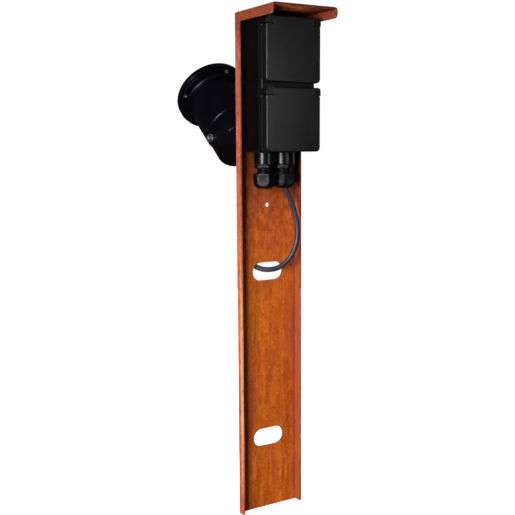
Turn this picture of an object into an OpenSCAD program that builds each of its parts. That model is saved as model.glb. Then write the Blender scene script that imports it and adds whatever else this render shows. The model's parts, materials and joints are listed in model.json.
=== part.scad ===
// Garden socket post: a folded weathering-steel channel with a roof, a double
// outdoor socket box under the roof, two cable glands, and an adjustable
// spotlight on the outer face, fed by a cable through the upper slot.
// Millimetres, +Z up. The origin is the middle of the web's foot.
// X runs across the web, -Y points out of the channel, towards the lids.

/* [Post] */
// Height from the foot to the roof's top face
post_h = 600; // [590:1:640]
// Width over the two side flanges
post_w = 85; // [82:0.5:96]
// Thickness of the steel sheet
sheet_t = 2.5; // [2:0.25:3]
// Depth of the side flanges, from the outer face
flange_d = 11.5; // [9:0.5:16]
// Depth of the roof, from the outer face
roof_d = 84; // [72:1:110]
// Outer radius of the folds
fold_r = 3.5; // [3.25:0.25:5]
// Radius of the roof flanges' lower front corners
roof_corner_r = 5; // [2:0.5:7]
// Length of the oblong slots
slot_len = 42; // [34:1:50]
// Height of the oblong slots
slot_h = 22; // [20:0.5:24]
// Height of the lower slot's centre
lower_slot_z = 90; // [60:1:200]
// Height of the upper slot's centre
upper_slot_z = 298; // [295:0.5:306]
// Diameter of the spare hole in the web
spare_hole_d = 5.5; // [4:0.5:8]
// Height of the spare hole
spare_hole_z = 378.5; // [340:0.5:390]

/* [Socket box] */
// Width of each lid
lid_w = 72; // [70:0.5:74]
// Height of each lid
lid_h = 72; // [70:0.5:74]
// Open gap between the two lids
lid_gap = 5; // [4:0.5:8]
// Depth of a lid from its front to the skirt's rear edge
lid_depth = 10.8; // [10.5:0.1:13]
// How far the lids stand out over each side of the box
lid_overhang = 0.5; // [0.4:0.1:1.5]
// Depth of the housing behind the frame seal
housing_d = 41; // [40:0.5:46]
// Wall of the moulded parts
wall = 2.2; // [2:0.1:2.6]
// Depth of the front frame
frame_d = 5; // [4.6:0.1:7]
// Gap from the upper lid to the roof's underside
roof_gap = 7; // [5:0.5:12]
// Width of a hinge lug
lug_w = 10; // [8:0.5:11]
// Distance from the lid's front and top to the hinge pin
hinge_r = 4.5; // [4.2:0.1:4.8]
// Diameter of the hinge pins
pin_d = 2.5; // [2:0.1:2.6]
// Inner radius of the socket cups
cup_r = 19.8; // [19.6:0.1:20]
// Depth of the socket cups
cup_depth = 17.5; // [17:0.1:18]

/* [Cable glands] */
// Distance between the two glands
gland_pitch = 26; // [25.8:0.1:34]
// Distance from the web's inner face to the glands' axes
gland_off = 15.5; // [15:0.1:18]
// Length of the spouts under the housing
spout_len = 14; // [10:0.5:16]
// Width across the flats of the dome nuts
nut_af = 24; // [23:0.1:24.2]
// Width across the flats of the gland bodies
body_af = 22; // [21:0.1:22]
// Inner radius of the open seal in the spare gland
open_seal_r = 4.5; // [4:0.1:5]

/* [Cable] */
// Diameter of the spotlight cable
cable_d = 6.2; // [5.8:0.1:6.4]

/* [Spotlight] */
// Height of the tilt axis below the roof's top face
pivot_drop = 141.5; // [135:0.5:150]
// Distance from the web's middle to the tilt axis
pivot_off = 66; // [62:0.5:80]
// Angle of the beam from vertical, as set
beam_angle = 52; // [46:1:58]
// Outer radius of the bezel
bezel_r = 47.2; // [46.5:0.1:50]
// Radius of the body
body_r = 36.6; // [36:0.1:36.8]
// Radius of the rear cap
cap_r = 35.3; // [34.5:0.1:35.6]
// Distance from the tilt axis to the bezel's front
front_len = 97; // [92:0.5:104]
// Distance from the tilt axis to the shoulder
shoulder_len = 16.5; // [14:0.1:22]
// Distance from the tilt axis to the flat rear end
rear_len = 14.6; // [13:0.1:18]
// Height of the yoke strip
yoke_h = 16; // [14:0.5:20]
// Thickness of the yoke strip
yoke_t = 3; // [2.5:0.25:3.5]

/* [Clearances] */
// Play between a hinge pin and its lid, on the radius
pin_play = 0.05; // [0.03:0.01:0.09]
// Gap between a lid and its hinge lugs
lug_play = 0.25; // [0.2:0.05:0.4]
// Gap between the closed lid's skirt and the frame
skirt_play = 0.75; // [0.5:0.05:1]
// Gap between the yoke's arms and the pivot bosses
boss_play = 0.3; // [0.2:0.05:0.5]
// Play of the pivot screws in the yoke, on the radius
pivot_play = 0.08; // [0.04:0.01:0.1]
// Play between nested fixed parts, on the radius
fit_play = 0.1; // [0.05:0.01:0.2]

/* [Hidden] */
$fn = 64;
web_in = -sheet_t / 2;
web_out = sheet_t / 2;
// Depths along Y, from the web forwards.
housing_y = web_in - housing_d;
frame_seal_t = 1;
frame_back_y = housing_y - frame_seal_t;
frame_y = frame_back_y - frame_d;
frame_plate = 3;
skirt_y = frame_y - skirt_play;
lid_y = skirt_y - lid_depth;
lid_plate = 2.5;
lid_wall = 2;
hinge_y = lid_y + hinge_r;
pin_r = pin_d / 2;
// Heights along Z, from the roof downwards.
lid_pitch = lid_h + lid_gap;
box_h = lid_pitch + lid_h;
box_top = post_h - sheet_t - roof_gap;
box_z0 = box_top - box_h;
function lid_cz(g) = box_z0 + lid_h / 2 + g * lid_pitch;
function hinge_z(g) = lid_cz(g) + lid_h / 2 - hinge_r;
box_w = lid_w - 2 * lid_overhang;
box_corner = 4;
back_wall = 2.5;
seal_in = 0.3;
frame_round = 1.5;
lid_corner = 5;
lid_round = 1.8;
lid_rib = 4.5;
// Hinge lugs: the corner at the lid's top edge, and the one by the lid's face.
lug_top_r = 4;
lug_low_r = 1.5;
cheek_depth = 1.5;
notch_reach = 20;
// Socket inserts.
rim_r1 = cup_r + 2.5;
rim_r2 = rim_r1 + 1.7;
rim_h = 1.8;
lip_y = frame_y - 1.2;
floor_y = lip_y + cup_depth;
floor_t = 3;
carrier_y = floor_y + floor_t;
carrier_d = 13;
carrier_back = carrier_y + carrier_d;
flange_t = 2.5;
pin_gap = 19;
guide_w = 5.2;
guide_d = 6.4;
strap_w = 6;
strap_t = 1;
strap_off = cup_r + 0.55;
insert_w = 2 * rim_r1 + 7.4;
insert_corner = 5;
carrier_w = 42;
carrier_h = 28;
contact_r = 3.6;
contact_bore = 2.45;
terminal_w = 8;
terminal_h = 12;
terminal_d = 6;
link_r = 1.4;
// Screws.
housing_screw_r = 2;
housing_head_r = 4;
housing_head_h = 2.4;
tip_in = 0.3;
frame_screw_r = 1.5;
frame_screw_len = 14;
frame_head_r = 2.6;
frame_head_h = 1.7;
frame_head_sink = 1.8;
driver_w = 0.8;
frame_boss_r = 3.6;
centre_screw_r = 1.7;
centre_head_r = 3.2;
// Hinge springs.
wire_d = 0.7;
coil_r = pin_r + 0.35 + wire_d / 2;
coil_pitch = 1.3;
coil_n = 6;
coil_steps = 8;
coil_play = 0.9;
leg_room = 12;
spring_side = 2.6;
// Glands.
gland_y = web_in - gland_off;
spout_r = 12.7;
spout_bore = 10;
spout_z = box_z0 - spout_len;
oring_t = 0.8;
oring_r = 11.6;
body_spigot = 11;
hex_z1 = spout_z - oring_t;
hex_z0 = hex_z1 - 4.4;
nut_z1 = hex_z0 - 5.9;
nut_len = 17.8;
nut_z0 = nut_z1 - nut_len;
nut_grip_z = 7.5;
nut_reach = nut_af / 2 + 2;
nut_rim_r = nut_af / 2 + 0.8;
nut_rim_h = 1.5;
nut_dome = 8.6;
nut_mouth_r = 7.4;
nut_floor = 5.5;
neck_in = 7;
neck_r = 9.4;
gland_bore = 6.9;
left_nut_turn = -11;
seal_z = 4.2;
seal_len = 12;
seal_lip_z = 1.2;
seal_play = 0.15;
seal_flare = 1.9;
seal_flare_z = 10.2;
// Spotlight: local +Z is the beam, the tilt axis passes through the origin.
pivot_z = post_h - pivot_drop;
bezel_t = 9;
bezel_round = 2.5;
bezel_edge = 0.8;
bezel_lip = 4;
flange_groove = 0.4;
body_flange_r = bezel_r - 1.6;
body_flange_t = 4.3;
body_flange_z = front_len - bezel_t - flange_groove - body_flange_t;
// The body's rear edge rolls in to the rear cap.
shoulder_r = 5;
shoulder_rise = sqrt(pow(shoulder_r, 2) - pow(shoulder_r - body_r + cap_r, 2));
body_wall = 3;
arm_x = cap_r + 1.1;
boss_x = arm_x - boss_play;
pivot_screw_r = 2.5;
pivot_screw_in = 8;
pivot_head_r = 4.5;
pivot_head_h = 3;
pivot_boss_r = 7;
washer_r = 5.2;
washer_t = 1;
washer_play = 0.3;
key_d = 4.6;
key_z = 1.2;
glass_r = 39;
glass_t = 4;
glass_z = front_len - bezel_lip - glass_t;
bezel_bore_r = glass_r + 3.2;
cap_floor = 4;
cap_round = 2.5;
cap_bore_r = 24;
lamp_z = glass_z - 8;
lamp_r = 25;
lamp_sink_r = 19;
lamp_base_r = 13;
lamp_len = 42;
lamp_front = 14;
lamp_step = 2;
lamp_sink_len = 30;
lamp_pin_x = 5;
lamp_pin_r = 1.8;
lamp_pin_len = 7;
holder_leg_x = 10;
holder_leg_w = 4;
holder_bore_r = 5;
lamp_dish = 1.5;
lamp_rim = 4;
holder_foot = 6;

// Hand-chosen points of the spotlight cable, from inside the right gland,
// out and round, back through the upper slot, and up to the spotlight.
cable_pts = [
    [13, -16.8, 446], [13, -16.8, 430], [13, -16.8, 418], [13, -16.8, 408],
    [15.2, -17, 398], [19.4, -17.8, 390], [23.6, -18.8, 380], [27, -20, 368],
    [29.2, -21.4, 354.5], [29.2, -22, 341], [26.8, -21.5, 328.5], [21.8, -19.5, 317],
    [15, -16.2, 308.2], [7, -12, 302.6], [-1.4, -7.1, 300.7], [-9, -1.2, 301.4],
    [-15.6, 4.6, 305.2], [-20.6, 9.8, 312.2], [-23.8, 13.4, 322.4], [-24.5, 15.4, 336],
    [-22, 17, 352], [-18, 18, 366], [-14, 19, 380], [-9.8, 20.5, 393.5],
    [-6, 22.8, 406.5], [-2.8, 26.7, 419], [-0.8, 32.4, 430], [0, 39.2, 437.5], [0, 46.7, 443.4]
];
slot_ring = 15;
cable_sides = 12;

// The three cores inside the box, from the cable's end to the lower terminals.
core_r = 1.1;
core_z0 = box_z0 + 4.5;
function ease(t) = t * t * (3 - 2 * t);
function core_route(a, b, bow) = concat(
    [a],
    [for (k = [0 : 5])
        let (t = k / 5, low = a + [0, 0, 2], top = b - [0, 0, 2])
        [
            low[0] + (top[0] - low[0]) * ease(t),
            low[1] + (top[1] - low[1]) * ease(t) + bow * 4 * t * (1 - t),
            low[2] + (top[2] - low[2]) * t
        ]],
    [b]
);
terminal_y = carrier_back + terminal_d / 2;
terminal_z = lid_cz(0) - terminal_h / 2;
// Each core: its place in the cable's end, its terminal, and its bow backwards.
core_ends = [
    [[-1.5, 1.2], [-pin_gap / 2, terminal_y, terminal_z], 2.5],
    [[1.5, 1.2], [pin_gap / 2, terminal_y, terminal_z], 0],
    [[0, -1.6], [0, carrier_back + strap_t / 2, lid_cz(0) - strap_off - strap_t / 2], 0]
];

// Swept tubes: one ring of points round each route point.
function unit(v) = v / norm(v);
function tangent(p, i) = unit(p[min(i + 1, len(p) - 1)] - p[max(i - 1, 0)]);
function side_of(n, t) = unit(n - (n * t) * t);
function normals(p, n, i = 0) =
    let (m = side_of(n, tangent(p, i)))
    i == len(p) - 1 ? [m] : concat([m], normals(p, m, i + 1));
function ring(c, n, t, r, sides) =
    [for (k = [0 : sides - 1]) c + r * (cos(360 * k / sides) * n + sin(360 * k / sides) * cross(t, n))];
function tube_points(p, ns, r, sides, a, b) =
    [for (i = [a : b]) each ring(p[i], ns[i], tangent(p, i), r, sides)];
function tube_faces(rings, sides) = concat(
    [for (k = [1 : sides - 2]) [0, k, k + 1]],
    [for (i = [0 : rings - 2], k = [0 : sides - 1])
        let (q = (k + 1) % sides)
        [i * sides + k, (i + 1) * sides + k, (i + 1) * sides + q]],
    [for (i = [0 : rings - 2], k = [0 : sides - 1])
        let (q = (k + 1) % sides)
        [i * sides + k, (i + 1) * sides + q, i * sides + q]],
    [for (k = [1 : sides - 2]) let (e = (rings - 1) * sides) [e, e + k + 1, e + k]]
);

module tube(p, r, sides, a, b, n0 = [0, 1, 0]) {
    polyhedron(
        points = tube_points(p, normals(p, n0), r, sides, a, b),
        faces = tube_faces(b - a + 1, sides)
    );
}

module rounded_rect(w, h, r) {
    square([w - 2 * r, h], center = true);
    square([w, h - 2 * r], center = true);
    for (x = [-1, 1], y = [-1, 1])
        translate([x * (w / 2 - r), y * (h / 2 - r)]) circle(r = r);
}

// Places a front-facing part: local x across, local y up, local z to the front.
module facing(y, z) {
    translate([0, y, z]) rotate([90, 0, 0]) children();
}

// Half section of a slab with a rolled front edge, from the middle outwards.
module edge_profile(reach, d, re) {
    square([reach, d - re]);
    square([reach - re, d]);
    translate([reach - re, d - re]) circle(r = re);
}

// Slab with rounded corners and a rolled front edge, base on z = 0.
module pillow(w, h, d, rc, re) {
    for (a = [0, 180])
        rotate([0, 0, a]) {
            rotate([90, 0, 0]) linear_extrude(h - 2 * rc, center = true) edge_profile(w / 2, d, re);
            rotate([90, 0, 90]) linear_extrude(w - 2 * rc, center = true) edge_profile(h / 2, d, re);
        }
    for (x = [-1, 1], y = [-1, 1])
        translate([x * (w / 2 - rc), y * (h / 2 - rc), 0]) rotate_extrude() edge_profile(rc, d, re);
}

// Section of the sheet with its inner folds rounded, seen from above, opening to -Y.
module channel_section() {
    difference() {
        translate([-post_w / 2, web_out - flange_d]) square([post_w, flange_d]);
        translate([-post_w / 2 + fold_r, web_out - flange_d - 1])
            square([post_w - 2 * fold_r, flange_d - sheet_t + 1]);
        translate([-post_w / 2 + sheet_t, web_out - flange_d - 1])
            square([post_w - 2 * sheet_t, flange_d - fold_r + 1]);
        for (x = [-1, 1])
            translate([x * (post_w / 2 - fold_r), web_out - fold_r]) circle(r = fold_r - sheet_t);
    }
}

// Side view of the sheet: the upright and the roof folded forward from it.
module side_outline() {
    r = roof_corner_r;
    front = web_out - roof_d;
    under = post_h - flange_d;
    translate([web_out - flange_d, 0]) square([flange_d, post_h - fold_r]);
    translate([front + r, under]) square([roof_d - r - fold_r, flange_d]);
    translate([front, under + r]) square([roof_d - fold_r, flange_d - r]);
    translate([front + r, under + r]) circle(r = r);
    translate([web_out - fold_r, post_h - fold_r]) circle(r = fold_r);
}

// Rectangle from y = 0 to h, with its two far corners rounded as the folds are.
module fold_outline(h) {
    translate([-post_w / 2, 0]) square([post_w, h - fold_r]);
    translate([-post_w / 2 + fold_r, 0]) square([post_w - 2 * fold_r, h]);
    for (x = [-1, 1])
        translate([x * (post_w / 2 - fold_r), h - fold_r]) circle(r = fold_r);
}

module slot_cut(z) {
    rotate([90, 0, 0])
        linear_extrude(flange_d, center = true)
            translate([0, z]) rounded_rect(slot_len, slot_h, slot_h / 2 - 0.001);
}

module post_channel() {
    color([0.52, 0.27, 0.14]) difference() {
        intersection() {
            union() {
                linear_extrude(post_h) channel_section();
                translate([0, web_out, post_h - web_out])
                    rotate([90, 0, 0])
                        linear_extrude(roof_d) channel_section();
            }
            rotate([90, 0, 90])
                linear_extrude(post_w, center = true) side_outline();
            translate([0, web_out - roof_d, 0]) linear_extrude(post_h) fold_outline(roof_d);
            translate([0, web_out, 0]) rotate([90, 0, 0]) linear_extrude(roof_d) fold_outline(post_h);
        }
        slot_cut(lower_slot_z);
        slot_cut(upper_slot_z);
        translate([0, 0, spare_hole_z]) rotate([90, 0, 0])
            cylinder(d = spare_hole_d, h = flange_d, center = true);
        for (z = housing_screw_z)
            translate([0, 0, z]) rotate([90, 0, 0])
                cylinder(r = housing_screw_r, h = flange_d, center = true);
        for (x = [-1, 1])
            translate([x * yoke_screw_x, 0, pivot_z]) rotate([90, 0, 0])
                cylinder(r = yoke_screw_r, h = flange_d, center = true);
    }
}

housing_screw_up = [25.5, 26];
housing_screw_z = [for (g = [0, 1]) lid_cz(g) + housing_screw_up[g]];
frame_screw_edge = 3.8;
frame_screw_side = 3.6;
frame_screw_top_x = 20.5;
frame_screw_pos = [
    for (s = [-1, 1]) [s * (box_w / 2 - frame_screw_side), box_z0 + frame_screw_edge],
    for (s = [-1, 1]) [s * frame_screw_top_x, box_top - frame_screw_edge]
];

module socket_housing() {
    color([0.05, 0.05, 0.055]) difference() {
        union() {
            difference() {
                facing(web_in, box_z0 + box_h / 2)
                    linear_extrude(housing_d) rounded_rect(box_w, box_h, box_corner);
                facing(web_in - back_wall, box_z0 + box_h / 2)
                    linear_extrude(housing_d)
                        rounded_rect(box_w - 2 * wall, box_h - 2 * wall, 2);
            }
            for (p = frame_screw_pos)
                intersection() {
                    facing(web_in, 0)
                        translate([p[0], p[1], 0]) cylinder(r = frame_boss_r, h = housing_d);
                    facing(web_in, box_z0 + box_h / 2)
                        linear_extrude(housing_d) rounded_rect(box_w, box_h, box_corner);
                }
            for (x = [-1, 1])
                translate([x * gland_pitch / 2, gland_y, spout_z])
                    cylinder(r = spout_r, h = spout_len + 1);
        }
        for (x = [-1, 1])
            translate([x * gland_pitch / 2, gland_y, spout_z - 1])
                cylinder(r = spout_bore, h = spout_len + wall + 3);
        for (p = frame_screw_pos)
            facing(housing_y + frame_screw_len + 2, 0)
                translate([p[0], p[1], 0]) cylinder(r = frame_screw_r, h = frame_screw_len + 3);
        for (z = housing_screw_z)
            facing(web_out, z) cylinder(r = housing_screw_r + fit_play, h = sheet_t + 6);
    }
}

module housing_screws() {
    color([0.7, 0.71, 0.72]) for (z = housing_screw_z)
        facing(web_out - tip_in, z) {
            cylinder(r = housing_screw_r, h = sheet_t + back_wall);
            translate([0, 0, sheet_t + back_wall - tip_in]) difference() {
                cylinder(r = housing_head_r, h = housing_head_h);
                translate([-0.5, -housing_head_r - 1, housing_head_h - 1])
                    cube([1, 2 * housing_head_r + 2, 2]);
            }
        }
}

module frame_seal() {
    color([0.09, 0.09, 0.09]) facing(housing_y, box_z0 + box_h / 2)
        linear_extrude(frame_seal_t) difference() {
            rounded_rect(box_w - 2 * seal_in, box_h - 2 * seal_in, box_corner - seal_in);
            rounded_rect(box_w - 2 * wall, box_h - 2 * wall, 2);
            for (p = frame_screw_pos)
                translate([p[0], p[1] - box_z0 - box_h / 2]) circle(r = frame_screw_r + fit_play);
        }
}

// Front view of a right-hand lug, from its lower inner corner.
module lug_outline() {
    top = 2 * hinge_r;
    translate([lug_low_r, 0]) square([lug_w - lug_low_r, top - lug_top_r]);
    translate([0, lug_low_r]) square([lug_w - lug_top_r, top - lug_low_r]);
    translate([lug_low_r, lug_low_r]) circle(r = lug_low_r);
    translate([lug_w - lug_top_r, top - lug_top_r]) circle(r = lug_top_r);
}

module hinge_lug(g, s) {
    cheek_r = hinge_r - lug_top_r / 2;
    cheek_z = hinge_z(g) - lug_top_r / 2;
    facing(frame_y + 0.5, hinge_z(g) - hinge_r)
        linear_extrude(frame_y - lid_y + 0.5)
            mirror([s > 0 ? 0 : 1, 0]) translate([lid_w / 2 - lug_w, 0]) lug_outline();
    translate([s > 0 ? box_w / 2 : -lid_w / 2, 0, cheek_z]) {
        translate([0, frame_y, -cheek_r]) cube([lid_overhang, cheek_depth, 2 * cheek_r]);
        translate([0, frame_y + cheek_depth, 0])
            rotate([0, 90, 0]) cylinder(r = cheek_r, h = lid_overhang);
    }
}

module front_frame() {
    color([0.055, 0.055, 0.06]) difference() {
        union() {
            difference() {
                facing(frame_back_y, box_z0 + box_h / 2)
                    pillow(box_w, box_h, frame_d, box_corner, frame_round);
                facing(frame_back_y + 1, box_z0 + box_h / 2)
                    linear_extrude(frame_d - frame_plate + 1)
                        rounded_rect(box_w - 2 * wall, box_h - 2 * wall, 2);
            }
            for (g = [0, 1]) {
                facing(frame_y + 1, lid_cz(g)) cylinder(r = rim_r2, h = rim_h + 1);
                for (s = [-1, 1]) hinge_lug(g, s);
            }
            for (p = frame_screw_pos)
                intersection() {
                    facing(frame_back_y, 0)
                        translate([p[0], p[1], 0]) cylinder(r = frame_boss_r, h = frame_d - 1);
                    facing(frame_back_y, box_z0 + box_h / 2)
                        linear_extrude(frame_d - 1) rounded_rect(box_w, box_h, box_corner);
                }
        }
        for (g = [0, 1]) {
            facing(frame_back_y + 1, lid_cz(g)) cylinder(r = rim_r1, h = frame_d + rim_h + 2);
            translate([-lid_w / 2 + 1, hinge_y, hinge_z(g)])
                rotate([0, 90, 0]) cylinder(r = pin_r, h = lid_w);
        }
        for (p = frame_screw_pos)
            facing(frame_back_y + 1, 0) translate([p[0], p[1], 0]) {
                cylinder(r = frame_screw_r + fit_play, h = frame_d + 4);
                translate([0, 0, frame_d + 1 - frame_head_sink]) cylinder(r = frame_head_r + 0.2, h = 4);
            }
    }
}

module frame_screws() {
    head_z = frame_screw_len + frame_seal_t + frame_d - frame_head_sink;
    color([0.7, 0.71, 0.72]) for (p = frame_screw_pos)
        facing(housing_y + frame_screw_len, 0) translate([p[0], p[1], 0]) {
            cylinder(r = frame_screw_r, h = head_z + 0.3);
            translate([0, 0, head_z]) difference() {
                cylinder(r = frame_head_r, h = frame_head_h);
                translate([-driver_w / 2, -frame_head_r - driver_w / 2, frame_head_h - driver_w])
                    cube([driver_w, 2 * frame_head_r + driver_w, 2]);
            }
        }
}

// The lid in its own place: pillow front, skirt, hinge barrel and seal rib.
module lid(g) {
    z = hinge_z(g);
    notch_r = sqrt(2) * hinge_r + lug_play;
    inner = lid_w / 2 - lug_w - lug_play;
    difference() {
        union() {
            difference() {
                facing(skirt_y, lid_cz(g)) pillow(lid_w, lid_h, lid_depth, lid_corner, lid_round);
                facing(skirt_y + 1, lid_cz(g))
                    linear_extrude(lid_depth - lid_plate + 1)
                        rounded_rect(lid_w - 2 * lid_wall, lid_h - 2 * lid_wall, 3);
                translate([-lid_w, hinge_y, z]) cube([2 * lid_w, notch_reach, notch_reach]);
            }
            translate([-inner, hinge_y, z]) rotate([0, 90, 0]) cylinder(r = hinge_r, h = 2 * inner);
            facing(lid_y + lid_plate + 4, lid_cz(g)) difference() {
                cylinder(r = rim_r2, h = lid_rib);
                translate([0, 0, -1]) cylinder(r = rim_r1, h = 6);
            }
        }
        for (s = [-1, 1])
            translate([s > 0 ? inner : -inner - lid_w, hinge_y, z]) {
                rotate([0, 90, 0]) cylinder(r = notch_r, h = lid_w);
                translate([0, -notch_reach, 0]) cube([lid_w, 2 * notch_reach, notch_reach]);
                translate([0, 0, -notch_r]) cube([lid_w, notch_reach, notch_r + 1]);
            }
        translate([-lid_w, hinge_y, z]) rotate([0, 90, 0]) cylinder(r = pin_r + pin_play, h = 2 * lid_w);
        translate([-spring_half, hinge_y, z]) {
            rotate([0, 90, 0]) cylinder(r = coil_r + coil_play, h = 2 * spring_half);
            translate([0, 0, -coil_r - coil_play]) cube([2 * spring_half, leg_room, notch_reach]);
            translate([0, -coil_r - coil_play, 0]) cube([2 * spring_half, leg_room, notch_reach]);
        }
    }
}

spring_half = coil_n * coil_pitch / 2 + spring_side;

module upper_lid() {
    color([0.085, 0.085, 0.09]) lid(1);
}

module lower_lid() {
    color([0.085, 0.085, 0.09]) lid(0);
}

module lid_seal(g) {
    y1 = frame_y - rim_h - 0.3;
    y0 = lid_y + lid_plate + 4;
    facing(y1, lid_cz(g)) difference() {
        cylinder(r = rim_r2 + 0.4, h = y1 - y0);
        translate([0, 0, -1]) cylinder(r = rim_r1 - 0.4, h = y1 - y0 + 2);
    }
}

module upper_lid_seal() {
    color([0.13, 0.13, 0.13]) lid_seal(1);
}

module lower_lid_seal() {
    color([0.13, 0.13, 0.13]) lid_seal(0);
}

module hinge_pin(g) {
    translate([-lid_w / 2 + 1.5, hinge_y, hinge_z(g)])
        rotate([0, 90, 0]) cylinder(r = pin_r, h = lid_w - 3);
}

module upper_hinge_pin() {
    color([0.72, 0.73, 0.74]) hinge_pin(1);
}

module lower_hinge_pin() {
    color([0.72, 0.73, 0.74]) hinge_pin(0);
}

// Torsion spring: a coil round the pin, one leg back to the frame.
function coil_at(a) = [
    -coil_n * coil_pitch / 2 + coil_pitch * a / 360, coil_r * cos(a), coil_r * sin(a)
];
leg_y = frame_y - hinge_y - 0.15;
spring_pts = concat(
    [for (k = [0 : coil_steps * coil_n]) coil_at(360 / coil_steps * k - 90)],
    [
        [coil_n * coil_pitch / 2 - coil_pitch / 4 + 0.15, coil_r * 0.75 + 0.8, -coil_r],
        [coil_n * coil_pitch / 2 - coil_pitch / 4 + 0.2, leg_y - wire_d, -coil_r],
        [coil_n * coil_pitch / 2 - coil_pitch / 4 + 0.2, leg_y, -coil_r]
    ]
);
spring_gap = min([
    for (i = [0 : len(spring_pts) - 1], j = [i + 5 : 1 : len(spring_pts) - 1])
        norm(spring_pts[i] - spring_pts[j])
]) - wire_d;
echo(spring_gap = spring_gap);

module lid_spring(g) {
    translate([0, hinge_y, hinge_z(g)])
        tube(spring_pts, wire_d / 2, 6, 0, len(spring_pts) - 1, [1, 0, 0]);
}

module upper_lid_spring() {
    color([0.62, 0.63, 0.64]) lid_spring(1);
}

module lower_lid_spring() {
    color([0.62, 0.63, 0.64]) lid_spring(0);
}

// Socket insert: round cup with guide ribs, pin holes and earth slots.
module insert(g) {
    depth = carrier_y - lip_y;
    facing(0, lid_cz(g)) difference() {
        union() {
            translate([0, 0, -carrier_y]) cylinder(r = rim_r1 - 0.3, h = depth);
            translate([0, 0, -frame_y - frame_plate - flange_t])
                linear_extrude(flange_t) rounded_rect(insert_w, insert_w, insert_corner);
        }
        difference() {
            translate([0, 0, -floor_y]) cylinder(r = cup_r, h = cup_depth + 1);
            for (s = [-1, 1])
                translate([s * (cup_r + 1) - guide_d / 2, -guide_w / 2, -floor_y - 1])
                    cube([guide_d, guide_w, cup_depth - 1]);
        }
        for (s = [-1, 1]) {
            translate([s * pin_gap / 2, 0, -carrier_y - 1]) cylinder(r = 2.7, h = floor_t + 2);
            translate([-strap_w / 2 - 0.3, s * strap_off - strap_t - 0.05, -carrier_y - 1])
                cube([strap_w + 0.6, 2 * strap_t + 0.1, depth + 2]);
        }
        translate([0, 0, -carrier_y - 1]) cylinder(r = centre_screw_r + fit_play, h = floor_t + 2);
    }
}

module upper_insert() {
    color([0.11, 0.11, 0.115]) insert(1);
}

module lower_insert() {
    color([0.11, 0.11, 0.115]) insert(0);
}

module carrier(g) {
    facing(carrier_back, lid_cz(g)) difference() {
        linear_extrude(carrier_d) rounded_rect(carrier_w, carrier_h, 3);
        for (s = [-1, 1])
            translate([s * pin_gap / 2, 0, -1]) cylinder(r = contact_r + fit_play, h = carrier_d + 2);
        translate([0, 0, -1]) cylinder(r = centre_screw_r + fit_play, h = carrier_d + 2);
    }
}

module upper_carrier() {
    color([0.75, 0.74, 0.7]) carrier(1);
}

module lower_carrier() {
    color([0.75, 0.74, 0.7]) carrier(0);
}

module contacts(g) {
    facing(carrier_back, lid_cz(g)) for (s = [-1, 1])
        translate([s * pin_gap / 2, 0, 0]) difference() {
            union() {
                translate([0, 0, -1]) cylinder(r = contact_r, h = carrier_d + 0.9);
                translate([-terminal_w / 2, -terminal_h / 2, -terminal_d])
                    cube([terminal_w, terminal_h, terminal_d]);
            }
            translate([0, 0, 0.5]) cylinder(r = contact_bore, h = carrier_d + 1);
        }
}

module upper_contacts() {
    color([0.72, 0.56, 0.26]) contacts(1);
}

module lower_contacts() {
    color([0.72, 0.56, 0.26]) contacts(0);
}

module earth_strap(g) {
    reach = carrier_back - lip_y;
    facing(carrier_back, lid_cz(g)) difference() {
        union() {
            translate([-strap_w / 2, -strap_off - strap_t / 2, -strap_t])
                cube([strap_w, 2 * strap_off + strap_t, strap_t]);
            for (s = [-1, 1]) {
                translate([-strap_w / 2, s * strap_off - strap_t / 2, -strap_t])
                    cube([strap_w, strap_t, reach - 3]);
                translate([-strap_w / 2, s * (strap_off - 0.7), reach - 8])
                    rotate([0, 90, 0]) cylinder(r = 1.4, h = strap_w);
            }
        }
        translate([0, 0, -2 * strap_t]) cylinder(r = centre_screw_r, h = 4 * strap_t);
    }
}

module upper_earth_strap() {
    color([0.74, 0.74, 0.72]) earth_strap(1);
}

module lower_earth_strap() {
    color([0.74, 0.74, 0.72]) earth_strap(0);
}

module centre_screws() {
    shank = carrier_d + floor_t + 3;
    color([0.74, 0.74, 0.72]) for (g = [0, 1])
        facing(carrier_back + 3, lid_cz(g)) {
            cylinder(r = centre_screw_r, h = shank + 0.2);
            translate([0, 0, shank]) difference() {
                cylinder(r = centre_head_r, h = 2);
                translate([-0.5, -centre_head_r - 1, 1]) cube([1, 2 * centre_head_r + 2, 2]);
            }
        }
}

// Wires that join the upper terminals to the lower ones.
module link_wires() {
    span = lid_pitch - terminal_h;
    strap_span = lid_pitch - 2 * (strap_off + strap_t / 2);
    color([0.45, 0.24, 0.12]) {
        for (s = [-1, 1])
            translate([s * pin_gap / 2, terminal_y, lid_cz(0) + terminal_h / 2])
                cylinder(r = link_r, h = span);
        translate([0, carrier_back + 1.5, lid_cz(0) + strap_off + strap_t / 2])
            cylinder(r = link_r, h = strap_span);
    }
}

module cable_cores() {
    color([0.2, 0.3, 0.55]) for (e = core_ends) {
        route = core_route([gland_pitch / 2 + e[0][0], gland_y + e[0][1], core_z0], e[1], e[2]);
        tube(route, core_r, 8, 0, len(route) - 1);
    }
}

module gland_body(x) {
    translate([x, gland_y, 0]) difference() {
        union() {
            translate([0, 0, nut_z0 + neck_in]) cylinder(r = neck_r, h = hex_z0 - nut_z0 - neck_in + 1);
            translate([0, 0, hex_z0]) rotate([0, 0, 30])
                cylinder(d = body_af / cos(30), h = hex_z1 - hex_z0, $fn = 6);
            translate([0, 0, hex_z0 + 1])
                cylinder(r = spout_bore - fit_play, h = hex_z1 - hex_z0 + body_spigot - 1);
        }
        translate([0, 0, nut_z0]) cylinder(r = gland_bore, h = hex_z1 - nut_z0 + body_spigot + 1);
    }
}

module left_gland_body() {
    color([0.06, 0.06, 0.065]) gland_body(-gland_pitch / 2);
}

module right_gland_body() {
    color([0.06, 0.06, 0.065]) gland_body(gland_pitch / 2);
}

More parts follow.
